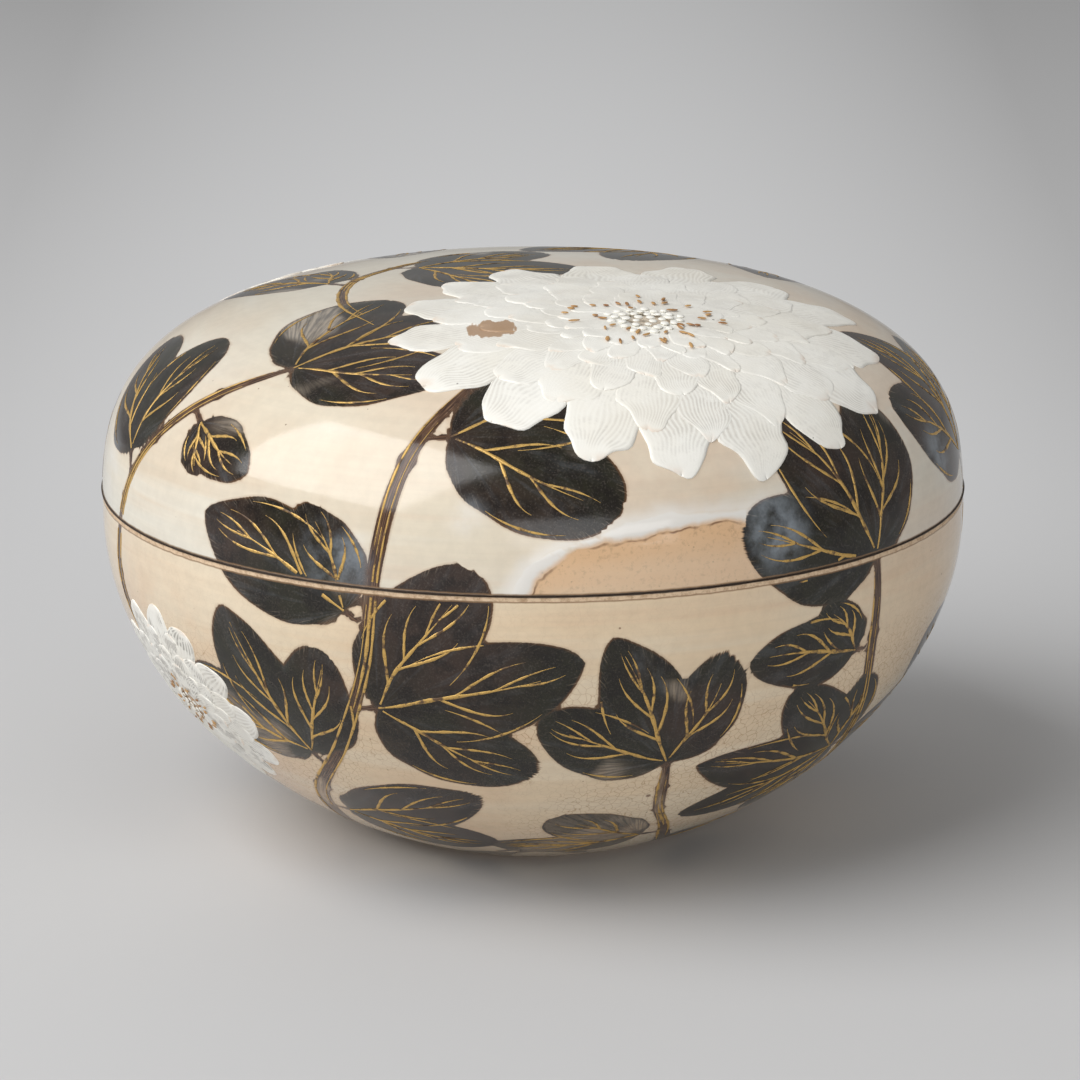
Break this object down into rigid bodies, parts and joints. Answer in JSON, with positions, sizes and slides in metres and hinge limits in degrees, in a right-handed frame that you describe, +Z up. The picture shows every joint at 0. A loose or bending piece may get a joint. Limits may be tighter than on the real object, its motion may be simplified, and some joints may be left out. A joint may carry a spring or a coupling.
{
  "type": "lidded box",
  "caption": "Round squat stoneware box with a domed lift-off lid that sits over an upright collar, decorated with raised white slip flowers.",
  "frame": {"origin": "centre of the foot, on the table that the box stands on", "axes": "+Z up through the middle of the lid, -Y towards the viewer of the picture"},
  "size_m": [0.22, 0.22, 0.1418],
  "materials": {
    "bowl_glaze": "gloss glaze with fine crackle, black leaves and gold lines",
    "lid_glaze": "gloss glaze, black leaves and gold lines",
    "white_slip": "satin white slip with cut petal lines"
  },
  "bodies": {
    "bowl": {"bowl": "bowl_glaze", "bowl_flower_left": "white_slip", "bowl_flower_back": "white_slip"},
    "lid": {"lid": "lid_glaze", "lid_flower_large": "white_slip", "lid_flower_small": "white_slip"}
  },
  "joints": [
    {"name": "lid_lift", "type": "slide", "parent": "bowl", "child": "lid", "axis": [0, 0, 1], "range_m": [0, 0.12]}
  ]
}
